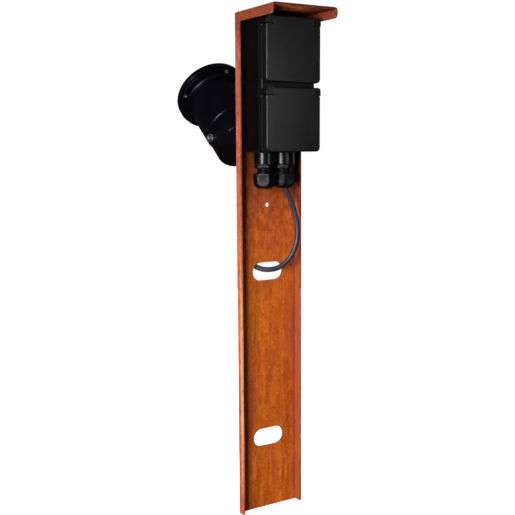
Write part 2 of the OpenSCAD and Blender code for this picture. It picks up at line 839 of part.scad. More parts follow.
module gland_orings() {
    color([0.1, 0.1, 0.1]) for (x = [-1, 1])
        translate([x * gland_pitch / 2, gland_y, hex_z1]) difference() {
            cylinder(r = oring_r, h = oring_t);
            translate([0, 0, -1]) cylinder(r = spout_bore, h = oring_t + 2);
        }
}

// Rubber ring inside a gland, between its neck and the dome of the nut.
module gland_seal(x, r) {
    translate([x, gland_y, nut_z0 + seal_z]) difference() {
        cylinder(r = gland_bore - fit_play, h = seal_len);
        translate([0, 0, -1]) cylinder(r = r, h = seal_len + 2);
    }
}

module left_gland_seal() {
    color([0.13, 0.13, 0.13]) difference() {
        union() {
            gland_seal(-gland_pitch / 2, open_seal_r);
            translate([-gland_pitch / 2, gland_y, nut_z0 + seal_lip_z])
                cylinder(r = gland_bore - 1.4, h = seal_z - seal_lip_z + 1);
        }
        translate([-gland_pitch / 2, gland_y, nut_z0]) cylinder(r = open_seal_r, h = seal_z + seal_len);
    }
}

// The right seal opens downwards, where the cable leans out of the nut.
module right_gland_seal() {
    color([0.13, 0.13, 0.13]) difference() {
        gland_seal(gland_pitch / 2, cable_d / 2 + seal_play);
        translate([gland_pitch / 2, gland_y, nut_z0])
            cylinder(r = cable_d / 2 + seal_flare, h = seal_flare_z);
    }
}

module dome_nut(x, turn) {
    translate([x, gland_y, nut_z0]) difference() {
        intersection() {
            rotate([0, 0, 30 + turn]) cylinder(d = nut_af / cos(30), h = nut_len, $fn = 6);
            rotate_extrude() {
                translate([0, nut_grip_z]) square([nut_reach, nut_len - nut_grip_z - 1]);
                translate([0, nut_len - nut_rim_h]) square([nut_rim_r, nut_rim_h]);
                square([nut_mouth_r, nut_dome]);
                intersection() {
                    square([nut_reach, nut_dome]);
                    translate([nut_reach - nut_dome, nut_dome]) circle(r = nut_dome);
                }
            }
        }
        translate([0, 0, -1]) cylinder(r = gland_bore, h = nut_dome);
        translate([0, 0, nut_floor]) cylinder(r = neck_r + fit_play, h = nut_len);
    }
}

module left_gland_nut() {
    color([0.06, 0.06, 0.065]) dome_nut(-gland_pitch / 2, left_nut_turn);
}

module right_gland_nut() {
    color([0.06, 0.06, 0.065]) dome_nut(gland_pitch / 2, 0);
}

module cable_front() {
    color([0.17, 0.18, 0.2]) tube(cable_pts, cable_d / 2, cable_sides, 0, slot_ring);
}

module cable_rear() {
    color([0.17, 0.18, 0.2]) tube(cable_pts, cable_d / 2, cable_sides, slot_ring, len(cable_pts) - 1);
}

yoke_screw_x = 18;
yoke_screw_r = 2.5;
yoke_bend_r = 5;
yoke_x = arm_x + yoke_t;

module spot_yoke() {
    color([0.06, 0.06, 0.065]) translate([0, 0, pivot_z]) difference() {
        union() {
            translate([-yoke_x + yoke_bend_r, web_out, -yoke_h / 2])
                cube([2 * (yoke_x - yoke_bend_r), yoke_t, yoke_h]);
            for (s = [-1, 1]) {
                translate([s > 0 ? arm_x : -yoke_x, web_out + yoke_bend_r, -yoke_h / 2])
                    cube([yoke_t, pivot_off - web_out - yoke_bend_r, yoke_h]);
                translate([s > 0 ? arm_x : -yoke_x, pivot_off, 0])
                    rotate([0, 90, 0]) cylinder(r = yoke_h / 2, h = yoke_t);
                translate([s * (yoke_x - yoke_bend_r), web_out + yoke_bend_r, -yoke_h / 2])
                    intersection() {
                        difference() {
                            cylinder(r = yoke_bend_r, h = yoke_h);
                            translate([0, 0, -1]) cylinder(r = yoke_bend_r - yoke_t, h = yoke_h + 2);
                        }
                        translate([s > 0 ? 0 : -yoke_bend_r - 1, -yoke_bend_r - 1, -1])
                            cube([yoke_bend_r + 1, yoke_bend_r + 1, yoke_h + 2]);
                    }
            }
        }
        translate([-yoke_x - 1, pivot_off, 0]) rotate([0, 90, 0])
            cylinder(r = pivot_screw_r + pivot_play, h = 2 * yoke_x + 2);
        for (s = [-1, 1])
            translate([s * yoke_screw_x, 0, 0]) rotate([-90, 0, 0])
                cylinder(r = yoke_screw_r + fit_play, h = web_out + yoke_t + 1);
    }
}

module yoke_screws() {
    color([0.7, 0.71, 0.72]) for (s = [-1, 1])
        translate([s * yoke_screw_x, web_in + 0.2, pivot_z]) rotate([-90, 0, 0]) {
            cylinder(r = yoke_screw_r, h = sheet_t + yoke_t);
            translate([0, 0, sheet_t + yoke_t - 0.2]) difference() {
                cylinder(r = pivot_head_r, h = pivot_head_h);
                translate([0, 0, key_z]) cylinder(d = key_d, h = pivot_head_h, $fn = 6);
            }
        }
}

// Puts a part into the spotlight's place: local +Z becomes the beam.
module spot_place() {
    translate([0, pivot_off, pivot_z]) rotate([-beam_angle, 0, 0]) children();
}

module pivot_screws() {
    head_x = yoke_x + washer_play + washer_t;
    color([0.7, 0.71, 0.72]) spot_place() for (s = [-1, 1])
        rotate([0, s * 90, 0]) {
            translate([0, 0, boss_x - pivot_screw_in])
                cylinder(r = pivot_screw_r, h = head_x - boss_x + pivot_screw_in + 0.1);
            translate([0, 0, head_x]) difference() {
                cylinder(r = pivot_head_r, h = pivot_head_h);
                translate([0, 0, key_z]) cylinder(d = key_d, h = pivot_head_h, $fn = 6);
            }
        }
}

module pivot_washers() {
    color([0.74, 0.75, 0.76]) spot_place() for (s = [-1, 1])
        rotate([0, s * 90, 0]) translate([0, 0, yoke_x + washer_play]) difference() {
            cylinder(r = washer_r, h = washer_t);
            translate([0, 0, -1]) cylinder(r = pivot_screw_r, h = washer_t + 2);
        }
}

module spot_housing() {
    fillet = 4;
    color([0.06, 0.06, 0.065]) spot_place() difference() {
        rotate_extrude() difference() {
            union() {
                translate([0, shoulder_len]) square([cap_r, body_flange_z - shoulder_len + 1]);
                translate([0, shoulder_len + shoulder_rise])
                    square([body_r, body_flange_z - shoulder_len - shoulder_rise + 1]);
                intersection() {
                    translate([body_r - shoulder_r, shoulder_len + shoulder_rise]) circle(r = shoulder_r);
                    translate([0, shoulder_len]) square([body_r + 1, 2 * shoulder_r]);
                }
                translate([0, body_flange_z - fillet]) difference() {
                    square([body_r + fillet, fillet + 0.5]);
                    translate([body_r + fillet, 0]) circle(r = fillet);
                }
                translate([0, body_flange_z]) square([body_flange_r, body_flange_t]);
                translate([0, body_flange_z]) square([glass_r + 3, glass_z - 1 - body_flange_z]);
            }
            translate([0, shoulder_len + body_wall + 1]) square([body_r - body_wall, front_len]);
            translate([0, glass_z - 2]) square([glass_r + 0.4, front_len]);
        }
        translate([0, 0, shoulder_len - 1]) cylinder(r = cap_bore_r, h = 10);
        for (a = [0 : 90 : 270])
            rotate([0, 0, a + bezel_turn]) translate([bezel_screw_r, 0, body_flange_z - 1])
                cylinder(r = bezel_thread_r + fit_play, h = 20);
    }
}

bezel_screw_r = body_r + 6.6;
bezel_screw_in = 5;
bezel_head_r = 2.2;
bezel_head_h = 1.8;
bezel_key_d = 2.4;
bezel_turn = 5;
bezel_thread_r = 1.5;

module bezel_screws() {
    color([0.7, 0.71, 0.72]) spot_place() for (a = [0 : 90 : 270])
        rotate([0, 0, a + bezel_turn]) translate([bezel_screw_r, 0, body_flange_z]) {
            cylinder(r = bezel_thread_r, h = body_flange_t + bezel_screw_in);
            translate([0, 0, -bezel_head_h]) difference() {
                cylinder(r = bezel_head_r, h = bezel_head_h);
                translate([0, 0, -1]) cylinder(d = bezel_key_d, h = 2, $fn = 6);
            }
        }
}

module spot_bezel() {
    r = bezel_round;
    e = bezel_edge;
    back = front_len - bezel_t;
    color([0.06, 0.06, 0.065]) spot_place() difference() {
        rotate_extrude() difference() {
            union() {
                translate([0, back]) square([bezel_r - e, bezel_t]);
                translate([0, back + e]) square([bezel_r, bezel_t - r - e]);
                translate([bezel_r - e, back + e]) circle(r = e);
                translate([bezel_r - r, front_len - r]) circle(r = r);
            }
            translate([bezel_r - r, front_len - r + 0.001]) difference() {
                square([r + 1, r + 1]);
                circle(r = r);
            }
            translate([0, back - 1]) square([glass_r - bezel_lip, bezel_t + 2]);
            translate([0, back - 1]) square([bezel_bore_r, front_len - bezel_lip - back + 1]);
            translate([0, front_len - bezel_round]) square([glass_r - bezel_lip / 2, bezel_lip]);
        }
        for (a = [0 : 90 : 270])
            rotate([0, 0, a + bezel_turn]) translate([bezel_screw_r, 0, back - 1])
                cylinder(r = bezel_thread_r, h = 7);
    }
}

module spot_glass() {
    color([0.7, 0.75, 0.76]) spot_place()
        translate([0, 0, glass_z]) cylinder(r = glass_r, h = glass_t);
}

module glass_gasket() {
    color([0.13, 0.13, 0.13]) spot_place()
        translate([0, 0, glass_z - 2]) difference() {
            cylinder(r = glass_r, h = 2);
            translate([0, 0, -1]) cylinder(r = body_r - body_wall, h = 4);
        }
}

module spot_rear_cap() {
    e = cap_round;
    color([0.06, 0.06, 0.065]) spot_place() difference() {
        union() {
            rotate_extrude() {
                translate([0, -rear_len]) square([cap_r - e, rear_len + shoulder_len]);
                translate([0, -rear_len + e]) square([cap_r, rear_len + shoulder_len - e]);
                translate([cap_r - e, -rear_len + e]) circle(r = e);
            }
            for (s = [-1, 1])
                rotate([0, s * 90, 0]) cylinder(r = pivot_boss_r, h = boss_x);
        }
        translate([0, 0, -rear_len + cap_floor]) cylinder(r = cap_bore_r, h = rear_len + shoulder_len);
        translate([0, 0, -rear_len - 1]) cylinder(r = tail_thread_r, h = cap_floor + 2);
        for (s = [-1, 1])
            rotate([0, s * 90, 0]) translate([0, 0, boss_x - pivot_screw_in - 2])
                cylinder(r = pivot_screw_r, h = pivot_screw_in + 4);
    }
}

// Plug-in reflector lamp: front ring, heat sink, base and two pins.
module spot_lamp() {
    color([0.85, 0.86, 0.85]) spot_place() {
        difference() {
            rotate_extrude() {
                translate([0, lamp_z - lamp_front]) square([lamp_r, lamp_front - lamp_step]);
                translate([0, lamp_z - lamp_step - 1]) square([lamp_r - 1, lamp_step + 1]);
                translate([0, lamp_z - lamp_sink_len])
                    square([lamp_sink_r, lamp_sink_len - lamp_front + 1]);
                translate([0, lamp_z - lamp_len]) square([lamp_base_r, lamp_len - lamp_sink_len + 1]);
            }
            translate([0, 0, lamp_z - lamp_dish]) cylinder(r = lamp_r - lamp_rim, h = 2 * lamp_dish);
        }
        for (s = [-1, 1])
            translate([s * lamp_pin_x, 0, lamp_z - lamp_len - lamp_pin_len])
                cylinder(r = lamp_pin_r, h = lamp_pin_len + 1);
    }
}

module lamp_holder() {
    z1 = lamp_z - lamp_len;
    z0 = -rear_len + cap_floor;
    color([0.88, 0.87, 0.84]) spot_place() difference() {
        union() {
            translate([0, 0, z0 + holder_foot]) cylinder(r = lamp_base_r + 1, h = z1 - z0 - holder_foot);
            for (s = [-1, 1])
                translate([s * holder_leg_x - holder_leg_w / 2, -holder_leg_w, z0])
                    cube([holder_leg_w, 2 * holder_leg_w, holder_foot + 2]);
        }
        for (s = [-1, 1])
            translate([s * lamp_pin_x, 0, z1 - lamp_pin_len - 1])
                cylinder(r = lamp_pin_r + 0.4, h = lamp_pin_len + 2);
        translate([0, 0, z0 - 1]) cylinder(r = holder_bore_r, h = holder_foot + 8);
    }
}

tail_hex_af = 14;
tail_hex_h = 5;
tail_r = 6.8;
tail_tip_r = 5.4;
tail_len = 10;
tail_tip_h = 2.6;
tail_thread_r = 5;

module spot_gland() {
    color([0.06, 0.06, 0.065]) spot_place() translate([0, 0, -rear_len]) difference() {
        union() {
            translate([0, 0, -tail_hex_h]) rotate([0, 0, 30])
                cylinder(d = tail_hex_af / cos(30), h = tail_hex_h, $fn = 6);
            translate([0, 0, -tail_len]) cylinder(r = tail_r, h = tail_len - tail_hex_h + 1);
            translate([0, 0, -tail_len - tail_tip_h])
                cylinder(r1 = tail_tip_r, r2 = tail_r, h = tail_tip_h);
            translate([0, 0, -1]) cylinder(r = tail_thread_r - fit_play, h = cap_floor + 2);
        }
        translate([0, 0, -tail_len - tail_tip_h - 1])
            cylinder(r = cable_d / 2 + 0.5, h = tail_len + tail_tip_h + cap_floor + 4);
    }
}

post_channel();
socket_housing();
housing_screws();
frame_seal();
front_frame();
frame_screws();
upper_lid();
lower_lid();
upper_lid_seal();
lower_lid_seal();
upper_hinge_pin();
lower_hinge_pin();
upper_lid_spring();
lower_lid_spring();
upper_insert();
lower_insert();
upper_carrier();
lower_carrier();
upper_contacts();
lower_contacts();
upper_earth_strap();
lower_earth_strap();
centre_screws();
link_wires();
cable_cores();
left_gland_body();
right_gland_body();
gland_orings();
left_gland_seal();
right_gland_seal();
left_gland_nut();
right_gland_nut();
cable_front();
cable_rear();
spot_yoke();
yoke_screws();
pivot_screws();
pivot_washers();
spot_housing();
spot_rear_cap();
spot_bezel();
spot_glass();
glass_gasket();
bezel_screws();
spot_lamp();
lamp_holder();
spot_gland();
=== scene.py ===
"""Looks of a garden socket post: cable, glands, lamp face, finishes, camera and light round the frame."""
import json
import math

import bmesh
import bpy
from mathutils import Matrix, Vector

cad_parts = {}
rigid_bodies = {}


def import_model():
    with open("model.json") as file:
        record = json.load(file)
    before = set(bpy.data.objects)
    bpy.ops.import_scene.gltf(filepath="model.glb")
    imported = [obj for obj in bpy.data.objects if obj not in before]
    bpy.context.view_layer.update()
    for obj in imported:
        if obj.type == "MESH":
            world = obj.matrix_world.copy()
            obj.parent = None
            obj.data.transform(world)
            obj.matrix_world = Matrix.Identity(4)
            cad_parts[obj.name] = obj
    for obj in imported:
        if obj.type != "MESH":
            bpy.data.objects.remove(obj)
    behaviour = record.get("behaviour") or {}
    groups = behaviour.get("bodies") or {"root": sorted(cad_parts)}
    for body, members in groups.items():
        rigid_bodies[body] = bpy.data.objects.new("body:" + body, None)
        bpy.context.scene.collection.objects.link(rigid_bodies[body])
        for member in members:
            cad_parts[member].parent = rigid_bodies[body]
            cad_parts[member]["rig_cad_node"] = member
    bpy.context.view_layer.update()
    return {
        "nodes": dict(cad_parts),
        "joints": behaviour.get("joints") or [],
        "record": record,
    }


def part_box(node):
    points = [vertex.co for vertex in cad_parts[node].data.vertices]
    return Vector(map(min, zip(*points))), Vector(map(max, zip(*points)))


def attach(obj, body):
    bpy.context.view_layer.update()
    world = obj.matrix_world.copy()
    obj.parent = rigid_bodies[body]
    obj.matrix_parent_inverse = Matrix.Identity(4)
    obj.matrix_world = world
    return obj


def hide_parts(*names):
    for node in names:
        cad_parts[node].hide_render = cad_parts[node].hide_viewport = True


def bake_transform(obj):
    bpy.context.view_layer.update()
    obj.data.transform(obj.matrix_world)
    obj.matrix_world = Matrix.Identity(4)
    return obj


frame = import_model()
nodes = frame["nodes"]
scene = bpy.context.scene

# Camera of the photograph: a square picture, seen from the left and slightly above.
PICTURE_PX = 515
FOCAL_PX = 835.4
SENSOR_MM = 36.0
CAMERA_PLACE = Vector((-0.5221, -0.85615, 0.4497))
CAMERA_YAW = math.radians(30.70)
CAMERA_PITCH = math.radians(-7.68)
CAMERA_ROLL = math.radians(-0.38)

# Spotlight cable, from inside the right gland, through the upper slot, to the spotlight.
CABLE_RADIUS = 0.0031
CABLE_SIDES = 24
CABLE_STEPS = 8
CABLE_EXIT = (0.013, -0.0168, 0.418)
CABLE_ROUTE = [
    (0.013, -0.0168, 0.446), (0.013, -0.0168, 0.430), (0.013, -0.0168, 0.418), (0.013, -0.0168, 0.408),
    (0.0152, -0.017, 0.398), (0.0194, -0.0178, 0.390), (0.0236, -0.0188, 0.380), (0.027, -0.020, 0.368),
    (0.0292, -0.0214, 0.3545), (0.0292, -0.022, 0.341), (0.0268, -0.0215, 0.3285),
    (0.0218, -0.0195, 0.317), (0.015, -0.0162, 0.3082), (0.007, -0.012, 0.3026),
    (-0.0014, -0.0071, 0.3007), (-0.009, -0.0012, 0.3014), (-0.0156, 0.0046, 0.3052),
    (-0.0206, 0.0098, 0.3122), (-0.0238, 0.0134, 0.3224), (-0.0245, 0.0154, 0.336),
    (-0.022, 0.017, 0.352), (-0.018, 0.018, 0.366), (-0.014, 0.019, 0.380), (-0.0098, 0.0205, 0.3935),
    (-0.006, 0.0228, 0.4065), (-0.0028, 0.0267, 0.419), (-0.0008, 0.0324, 0.430), (0.0, 0.0392, 0.4375),
    (0.0, 0.0467, 0.4434),
]
# The cable is two pieces, as in the frame: they meet in the upper slot, at this point of the route.
CABLE_SPLIT = 15

# Lamp in the spotlight: beam angle from vertical, distance of the face from the tilt axis, small lenses.
BEAM_ANGLE = math.radians(52)
LAMP_FACE = 0.0796
LAMP_FACE_RADIUS = 0.0206
LAMP_FACE_RINGS = 40
LAMP_FACE_SPOKES = 96
LENS_RADIUS = 0.0046
LENS_HEIGHT = 0.0011
LENS_CIRCLE = 0.0115
LENS_COUNT = 6

# Glands: hexagons and their turns, neck with its thread, and the edges of the turned profiles.
BODY_FLATS = 0.022
BODY_HEIGHT = 0.0044
BODY_TURN = math.radians(-8)
BODY_CHAMFER_LOW = 0.0007
BODY_CHAMFER_HIGH = 0.0008
SPIGOT_RADIUS = 0.0099
NUT_FLATS = 0.024
NUT_TURNS = {"left": math.radians(-11), "right": math.radians(-30)}
NUT_CHAMFER = 0.0012
NUT_CHAMFER_SLOPE = 0.6
NUT_LIP = 0.0007
NUT_MOUTH = 0.0055
NUT_SIDES = 432
DOME_RADIUS = 0.0086
DOME_SWEEP = -64
DOME_STEPS = 14
NECK_RADIUS = 0.0094
GLAND_BORE = 0.0069
THREAD_PITCH = 0.0015
THREAD_DEPTH = 0.0007
THREAD_STEPS = 8
CORNER_SOFTNESS = 70
GLAND_PLAY = 0.0001
FINE_EDGE = 0.0002
BROKEN_EDGE = 0.0004

# Fine ridges on the nuts' flats: from this height over the mouth up to this distance from the top.
RIDGE_PITCH = 0.0010
RIDGE_DEPTH = 0.00014
RIDGE_START = 0.0035
RIDGE_STOP = 0.0018
RIDGE_FADE = 0.004
RIDGE_RUNOUT = 0.0003

# Socket box: top of the spouts, and the narrow steps where its side walls and the parts behind its front
# begin. The walls keep this share of the shine.
SPOUT_TOP = 0.441
SPOUT_STEP = 0.001
BOX_WALL = (0.0340, 0.0350)
BOX_FRONT = (-0.0500, -0.0490)
BOX_WALL_FRONT = (-0.0450, -0.0440)
BOX_WALL_SHINE = 0.4

# Surroundings: floor, and the share of the white surroundings that lights the object.
FLOOR_RADIUS = 1.6
FLOOR_GLOW = 0.7
AMBIENT = 0.03

# Soft boxes: name, degrees round the post, reach, height, size, power, and the surfaces that see it.
# Those above the first height are turned down to the second.
LIGHT_TURN = 0.7
LIGHT_AIM = 0.35
SOFT_BOXES = [
    ("key", -61, 1.5, 0.30, (0.75, 0.9), 58, "matt"),
    ("rim", -60, 1.5, 0.60, (0.40, 0.6), 16.5, "gloss"),
    ("fill", 10, 0.42, 0.51, (0.10, 0.2), 0.23, "gloss"),
    ("right", 108, 1.6, 0.6, (0.6, 1.0), 0.9, "gloss"),
    ("rear", 175, 1.6, 1.2, (0.8, 0.8), 2.0, "gloss"),
    ("back", 150, 1.8, 0.9, (1.2, 1.2), 40, "matt"),
    ("top", 0, 0.01, 3.0, (4.0, 4.0), 66, "matt"),
]


def aim_camera():
    data = bpy.data.cameras.new("camera")
    data.sensor_width = SENSOR_MM
    data.lens = FOCAL_PX / PICTURE_PX * SENSOR_MM
    level = math.cos(CAMERA_PITCH)
    ahead = Vector((math.sin(CAMERA_YAW) * level, math.cos(CAMERA_YAW) * level, math.sin(CAMERA_PITCH)))
    right = Vector((math.cos(CAMERA_YAW), -math.sin(CAMERA_YAW), 0))
    above = right.cross(ahead)
    across = math.cos(CAMERA_ROLL) * right + math.sin(CAMERA_ROLL) * above
    up = math.cos(CAMERA_ROLL) * above - math.sin(CAMERA_ROLL) * right
    turn = Matrix((across, up, -ahead)).transposed().to_4x4()
    camera = bpy.data.objects.new("camera", data)
    camera.matrix_world = Matrix.Translation(CAMERA_PLACE) @ turn
    scene.collection.objects.link(camera)
    scene.camera = camera


def piece_from(name, mesh, smooth_angle=35):
    """Makes a bmesh into a new object with smooth faces and creases at sharp edges."""
    bmesh.ops.recalc_face_normals(mesh, faces=mesh.faces)
    for face in mesh.faces:
        face.smooth = True
    for edge in mesh.edges:
        edge.smooth = edge.calc_face_angle(0) < math.radians(smooth_angle)
    data = bpy.data.meshes.new(name)
    mesh.to_mesh(data)
    mesh.free()
    made = bpy.data.objects.new(name, data)
    scene.collection.objects.link(made)
    return made


def curve_through(points, steps):
    """Points of a smooth curve through the given ones."""
    line = [Vector(p) for p in points]
    padded = [2 * line[0] - line[1], *line, 2 * line[-1] - line[-2]]
    found = []
    for a, b, c, d in zip(padded, padded[1:], padded[2:], padded[3:]):
        for k in range(steps):
            t = k / steps
            slope = (c - a) * t + (2 * a - 5 * b + 4 * c - d) * t ** 2 + (3 * b - a - 3 * c + d) * t ** 3
            found.append(b + slope / 2)
    return [*found, line[-1]]


def rings_along(line, radius, sides):
    """Rings of points square to a line, without twist."""
    angles = [2 * math.pi * k / sides for k in range(sides)]
    aside = Vector((0, 1, 0))
    rings = []
    for i, place in enumerate(line):
        along = (line[min(i + 1, len(line) - 1)] - line[max(i - 1, 0)]).normalized()
        aside = (aside - aside.dot(along) * along).normalized()
        other = along.cross(aside)
        rings.append([place + radius * (math.cos(a) * aside + math.sin(a) * other) for a in angles])
    return rings


def tube(name, rings):
    """Closed tube through rings of points."""
    mesh = bmesh.new()
    rings = [[mesh.verts.new(place) for place in ring] for ring in rings]
    for low, high in zip(rings, rings[1:]):
        for k in range(len(low)):
            mesh.faces.new((low[k - 1], low[k], high[k], high[k - 1]))
    mesh.faces.new(rings[0])
    mesh.faces.new(rings[-1])
    return piece_from(name, mesh, smooth_angle=60)


def turned(name, profile, centre, reshape, sides=120):
    """Closed ring turned from a closed profile of (radius, height); reshape may change each point."""
    mesh = bmesh.new()
    rings = []
    for k in range(sides):
        angle = 2 * math.pi * k / sides
        ring = []
        for radius, height in profile:
            radius = reshape(angle, radius, height)
            ring.append(mesh.verts.new(centre + Vector((
                radius * math.cos(angle), radius * math.sin(angle), height,
            ))))
        rings.append(ring)
    for k in range(sides):
        for i in range(len(profile)):
            mesh.faces.new((rings[k - 1][i - 1], rings[k][i - 1], rings[k][i], rings[k - 1][i]))
    return piece_from(name, mesh)


def from_flat(angle, turn):
    """Angle from the middle of a hexagon's nearest flat."""
    return (angle - turn + math.pi / 6) % (math.pi / 3) - math.pi / 6


def corner_radius(flats):
    return flats / 2 / math.cos(math.pi / 6)


def hexagon(flats, turn):
    """Limits a radius to a hexagon with softened corners."""
    def limit(angle, radius, height):
        flat = flats / 2 / math.cos(from_flat(angle, turn))
        power = CORNER_SOFTNESS
        return flat * (1 + (flat / radius) ** power) ** (-1 / power)
    return limit


def arc(centre, radius, start, end, steps):
    """Points of a profile's arc, by angles in degrees."""
    angles = [math.radians(start + (end - start) * k / steps) for k in range(steps + 1)]
    return [(centre[0] + radius * math.cos(a), centre[1] + radius * math.sin(a)) for a in angles]


def lay_cable():
    """One cable in two pieces; the front one stays on the post."""
    line = curve_through(CABLE_ROUTE, CABLE_STEPS)
    rings = rings_along(line, CABLE_RADIUS, CABLE_SIDES)
    split = CABLE_SPLIT * CABLE_STEPS
    front = tube("front_cable", rings[:split + 1])
    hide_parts("cable_front")
    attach(front, "post")
    rear = tube("rear_cable", rings[split:])
    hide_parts("cable_rear")
    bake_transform(rear)
    for piece, start, path in ((front, CABLE_EXIT, line[:split + 1]), (rear, line[split], line[split:])):
        dress(piece, "cable_sheath")


def gland_nut(side, turn):
    """Dome nut: chamfered top, hexagon with ridged flats, rounded dome and an open mouth."""
    node = f"{side}_gland_nut"
    low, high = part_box(node)
    body_low, body_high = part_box(f"{side}_gland_body")
    centre = Vector(((body_low.x + body_high.x) / 2, (body_low.y + body_high.y) / 2, low.z))
    height = high.z - low.z
    corner = corner_radius(NUT_FLATS)
    outside = corner + GLAND_PLAY
    neck = NECK_RADIUS + GLAND_PLAY
    ridge_top = height - RIDGE_STOP
    profile = [
        (neck, height - BROKEN_EDGE), (neck + BROKEN_EDGE, height),
        (corner - NUT_CHAMFER, height), (outside, height - NUT_CHAMFER_SLOPE * NUT_CHAMFER),
        (outside, ridge_top + RIDGE_RUNOUT), (outside, ridge_top),
        *arc((outside - DOME_RADIUS, DOME_RADIUS), DOME_RADIUS, 0, DOME_SWEEP, DOME_STEPS),
        (GLAND_BORE + NUT_LIP, 0.0), (GLAND_BORE + FINE_EDGE, 0.0), (GLAND_BORE, FINE_EDGE),
        (GLAND_BORE, NUT_MOUTH), (neck, NUT_MOUTH + GLAND_PLAY),
    ]
    limit = hexagon(NUT_FLATS, turn)

    def ridged(angle, radius, level):
        shape = limit(angle, radius, level)
        if not RIDGE_START <= level <= ridge_top:
            return shape
        across = NUT_FLATS / 2 * math.tan(from_flat(angle, turn))
        beside = min(1, max(0, (NUT_FLATS / 4 - abs(across)) / RIDGE_PITCH))
        below = min(1, (level - RIDGE_START) / RIDGE_FADE)
        groove = 0.5 - 0.5 * math.cos(2 * math.pi * across / RIDGE_PITCH)
        return shape - RIDGE_DEPTH * beside * below * groove

    nut = turned(f"{side}_nut", profile, centre, ridged, NUT_SIDES)
    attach(nut, "post")
    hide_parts(node)
    dress(nut, "gland_black")


def gland_body(side):
    """Gland body: threaded neck, hexagon with a collar, and the spigot in the spout."""
    node = f"{side}_gland_body"
    low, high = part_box(node)
    centre = Vector(((low.x + high.x) / 2, (low.y + high.y) / 2, low.z))
    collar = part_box("gland_orings")[0].z - low.z
    flats_low = collar - BODY_HEIGHT
    flat = BODY_FLATS / 2
    outside = corner_radius(BODY_FLATS) + GLAND_PLAY
    top = high.z - low.z
    steps = int(flats_low / THREAD_PITCH * THREAD_STEPS)
    neck = [(NECK_RADIUS, flats_low * k / steps) for k in range(steps)]
    profile = [
        (GLAND_BORE, 0.0), *neck, (NECK_RADIUS, flats_low),
        (flat - FINE_EDGE, flats_low), (outside, flats_low + BODY_CHAMFER_LOW),
        (outside, collar - BODY_CHAMFER_HIGH), (flat, collar - FINE_EDGE), (flat - FINE_EDGE, collar),
        (SPIGOT_RADIUS, collar), (SPIGOT_RADIUS, top - BROKEN_EDGE), (SPIGOT_RADIUS - BROKEN_EDGE, top),
        (GLAND_BORE, top),
    ]
    limit = hexagon(BODY_FLATS, BODY_TURN)

    def threaded(angle, radius, height):
        if radius == NECK_RADIUS:
            phase = (height / THREAD_PITCH - angle / (2 * math.pi)) % 1
            fade = min(1, (flats_low - height) / THREAD_PITCH)
            return radius - THREAD_DEPTH * fade * abs(2 * phase - 1)
        return limit(angle, radius, height)

    body = turned(f"{side}_body", profile, centre, threaded)
    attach(body, "post")
    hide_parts(node)
    dress(body, "gland_black")


def lamp_face():
    """Lens plate in the lamp's front: small lenses in a ring round a middle one."""
    turns = [2 * math.pi * k / LENS_COUNT for k in range(LENS_COUNT)]
    places = [(0.0, 0.0), *((LENS_CIRCLE * math.cos(a), LENS_CIRCLE * math.sin(a)) for a in turns)]

    def height(x, y):
        near = min(math.hypot(x - a, y - b) for a, b in places)
        return LENS_HEIGHT * math.sqrt(max(0.0, 1 - (near / LENS_RADIUS) ** 2))

    mesh = bmesh.new()
    middle = mesh.verts.new((0, 0, height(0, 0)))
    last = None
    for i in range(1, LAMP_FACE_RINGS + 1):
        reach = LAMP_FACE_RADIUS * i / LAMP_FACE_RINGS
        ring = []
        for k in range(LAMP_FACE_SPOKES):
            x = reach * math.cos(2 * math.pi * k / LAMP_FACE_SPOKES)
            y = reach * math.sin(2 * math.pi * k / LAMP_FACE_SPOKES)
            ring.append(mesh.verts.new((x, y, height(x, y))))
        for k in range(LAMP_FACE_SPOKES):
            if last is None:
                mesh.faces.new((middle, ring[k - 1], ring[k]))
            else:
                mesh.faces.new((last[k - 1], ring[k - 1], ring[k], last[k]))
        last = ring
    tilt = next(joint for joint in frame["joints"] if joint["name"] == "spot_tilt")
    along_beam = Matrix.Rotation(-BEAM_ANGLE, 4, "X") @ Matrix.Translation((0, 0, LAMP_FACE))
    face = piece_from("lamp_face", mesh)
    face.data.transform(Matrix.Translation(Vector(tilt["pos_m"])) @ along_beam)
    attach(face, "spot_head")
    dress(face, "lamp_white")


